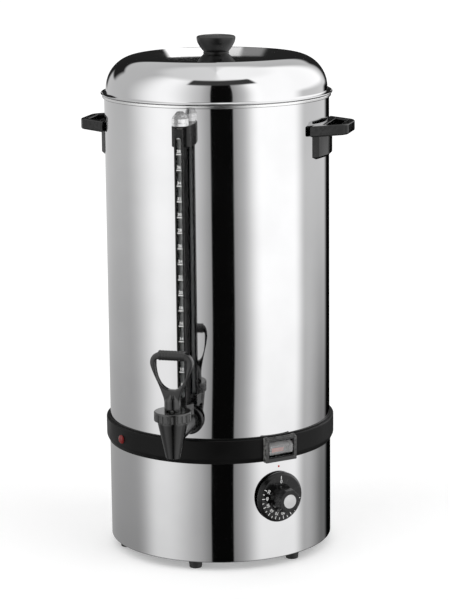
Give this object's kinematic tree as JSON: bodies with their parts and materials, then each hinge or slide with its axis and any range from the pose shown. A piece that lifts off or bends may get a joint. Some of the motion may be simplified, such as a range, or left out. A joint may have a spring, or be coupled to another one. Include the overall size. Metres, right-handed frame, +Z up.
{
  "type": "hot water urn",
  "caption": "Tall round double-walled steel water urn with lift-off domed lid, side handles, level gauge, lever tap, thermostat dial and lit rocker switch.",
  "frame": {"origin": "on the floor under the middle of the whole urn, front to back and side to side; the barrel's axis stands 47 mm behind it", "axes": "+Z up along the barrel; -Y is the front, where the tap is; +X is on the right when facing the front from behind it, the side of the dial"},
  "size_m": [0.343, 0.3852, 0.6494],
  "materials": {
    "polished_steel": "mirror-polished stainless steel",
    "plated_steel": "zinc-plated steel",
    "spring_steel": "drawn stainless wire",
    "aluminium": "cast",
    "copper_brass": "drawn tube and stamped pins",
    "black_plastic": "fine matt grain",
    "black_gloss": "moulded, satin to gloss",
    "white_plastic": "gloss",
    "black_rubber": "matt",
    "seal_silicone": "translucent silicone",
    "tube_glass": "clear",
    "clear_plastic": "clear, faceted",
    "red_insert": "red-orange translucent",
    "red_lens": "red translucent",
    "lamp_body": "moulded"
  },
  "bodies": {
    "urn": {"inner_tank": "polished_steel", "outer_shell": "polished_steel", "band_ring": "black_plastic", "base_shell": "polished_steel", "bottom_plate": "plated_steel", "tank_support_ring": "plated_steel", "feet": "black_rubber", "foot_screws": "plated_steel", "foot_nuts": "plated_steel", "tie_rod": "plated_steel", "tie_nut": "plated_steel", "heater_plate": "aluminium", "heating_element": "plated_steel", "thermal_cutout": "plated_steel", "sensor_bulb": "plated_steel", "terminal_block": "white_plastic", "handle_right": "black_plastic", "handle_left": "black_plastic", "handle_screws": "plated_steel", "tap_body": "black_plastic", "tap_collar": "black_gloss", "tap_outer_washer": "black_rubber", "tap_spacer": "black_rubber", "tap_inner_washer": "black_rubber", "tap_back_nut": "black_plastic", "tap_bonnet": "black_plastic", "tap_spring": "spring_steel", "sight_tube": "tube_glass", "gauge_lower_seal": "seal_silicone", "gauge_lower_nut": "black_plastic", "gauge_guard": "black_plastic", "gauge_top_bracket": "black_plastic", "gauge_bracket_screw": "plated_steel", "gauge_top_seal": "seal_silicone", "gauge_cap": "clear_plastic", "thermostat_body": "black_plastic", "thermostat_nut": "plated_steel", "thermostat_bracket": "plated_steel", "capillary_tube": "copper_brass", "switch_frame": "black_plastic", "switch_housing": "black_plastic", "pilot_lens": "red_lens", "pilot_body": "lamp_body", "appliance_inlet": "black_plastic", "inlet_pins": "copper_brass", "inlet_screws": "plated_steel"},
    "lid": {"lid_dome": "polished_steel", "lid_locating_ring": "polished_steel", "lid_knob": "black_gloss", "lid_knob_washer": "plated_steel", "lid_knob_screw": "plated_steel"},
    "tap_plunger": {"tap_stem": "spring_steel", "tap_seat": "seal_silicone"},
    "tap_lever": {"tap_handle": "black_plastic", "tap_pin": "spring_steel"},
    "dial": {"dial_knob": "black_gloss", "dial_cap": "white_plastic", "thermostat_shaft": "plated_steel"},
    "rocker": {"switch_rocker": "clear_plastic", "rocker_insert": "red_insert"}
  },
  "joints": [
    {"name": "lid_lift", "type": "slide", "parent": "urn", "child": "lid", "axis": [0, 0, 1], "range_m": [0, 0.12]},
    {"name": "tap_plunger_lift", "type": "slide", "parent": "urn", "child": "tap_plunger", "axis": [0, 0, 1], "range_m": [0, 0.00361], "deforming": ["tap_spring"]},
    {"name": "tap_lever_tilt", "type": "hinge", "parent": "tap_plunger", "child": "tap_lever", "pos_m": [0, -0.1703, 0.2285], "axis": [1, 0, 0], "range_deg": [0, 50], "stiffness_Nm_per_rad": 0.0138, "springref_deg": -53.86},
    {"name": "dial_turn", "type": "hinge", "parent": "urn", "child": "dial", "pos_m": [0.10076, -0.05376, 0.0905], "axis": [-0.7071, 0.7071, 0], "range_deg": [0, 240]},
    {"name": "rocker_tilt", "type": "hinge", "parent": "urn", "child": "rocker", "pos_m": [0.09899, -0.05199, 0.15315], "axis": [-0.7071, -0.7071, 0], "range_deg": [0, 16]}
  ],
  "couplings": [
    {"joint": "tap_plunger_lift", "follows": "tap_lever_tilt", "m_per_rad": 0.0041253}
  ]
}
